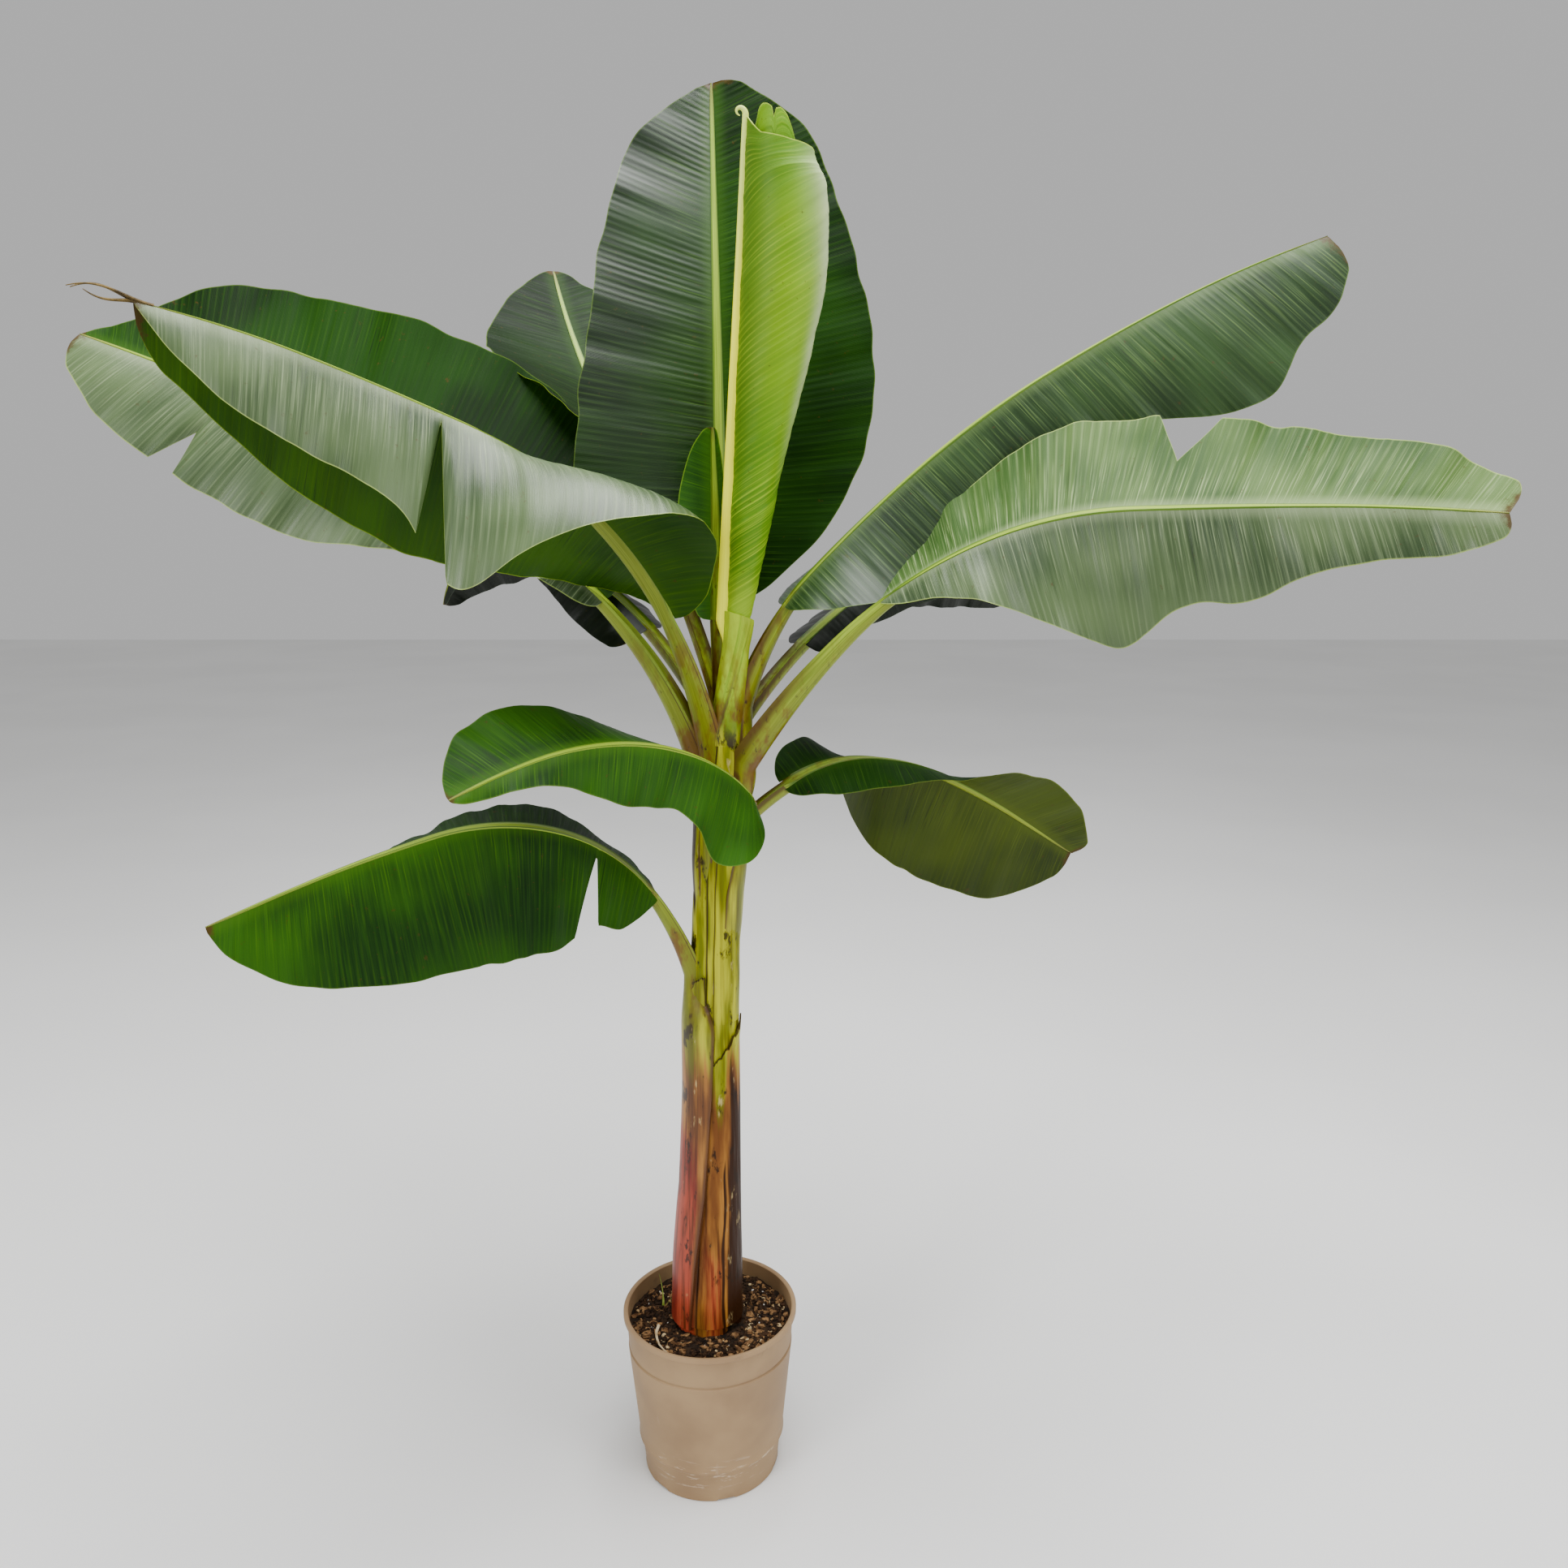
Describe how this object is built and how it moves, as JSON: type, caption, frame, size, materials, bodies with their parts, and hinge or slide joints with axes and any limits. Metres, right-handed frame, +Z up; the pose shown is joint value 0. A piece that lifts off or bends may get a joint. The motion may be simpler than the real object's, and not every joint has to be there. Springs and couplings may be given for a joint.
{
  "type": "potted banana plant",
  "caption": "Young banana plant with a single leaning false stem, broad paddle leaves, one leaf still rolled up, and a plain tapering nursery pot filled with soil.",
  "frame": {"origin": "middle of the flat underside of the pot, on the ground", "axes": "+Z up along the plant, -Y towards the front, +X towards the right-hand leaves"},
  "size_m": [1.856, 0.8101, 2.0803],
  "materials": {
    "pot": "matte taupe moulded plastic, scuffed paler near the foot",
    "soil": "dark loose potting mix with pale and tan chips",
    "stem": "satin fibrous leaf sheaths, yellow-green above, brown in the middle and pink-orange at the foot",
    "old_sheath": "dry to half dry leaf sheath, lined along its length",
    "heart": "smooth satin yellow-green young sheaths",
    "stalk": "smooth satin yellow-green, channelled on top",
    "leaf": "glossy dark green above with close parallel side veins, duller olive green below",
    "new_leaf": "satin bright yellow-green, finely veined"
  },
  "bodies": {
    "root": {"pot": "pot", "soil": "soil", "stem": "stem", "sheath_red": "old_sheath", "sheath_cut": "old_sheath", "sheath_dark": "old_sheath", "sheath_upper": "old_sheath", "heart": "heart", "leaf_rolled": "new_leaf", "leaf_back_blade": "leaf", "leaf_back_left_blade": "leaf", "leaf_back_left_stalk": "stalk", "leaf_back_stalk": "stalk", "leaf_far_left_inner_blade": "leaf", "leaf_far_left_outer_blade": "leaf", "leaf_far_left_stalk": "stalk", "leaf_hanging_left_blade": "leaf", "leaf_hanging_left_stalk": "stalk", "leaf_hanging_right_blade": "leaf", "leaf_hanging_right_stalk": "stalk", "leaf_left_inner_blade": "leaf", "leaf_left_outer_blade": "leaf", "leaf_left_stalk": "stalk", "leaf_low_front_blade": "leaf", "leaf_low_front_stalk": "stalk", "leaf_low_left_inner_blade": "leaf", "leaf_low_left_outer_blade": "leaf", "leaf_low_left_stalk": "stalk", "leaf_low_right_blade": "leaf", "leaf_low_right_stalk": "stalk", "leaf_lower_right_inner_blade": "leaf", "leaf_lower_right_outer_blade": "leaf", "leaf_lower_right_stalk": "stalk", "leaf_upper_right_inner_blade": "leaf", "leaf_upper_right_outer_blade": "leaf", "leaf_upper_right_stalk": "stalk", "leaf_young_blade": "new_leaf", "leaf_young_stalk": "stalk"}
  },
  "joints": []
}
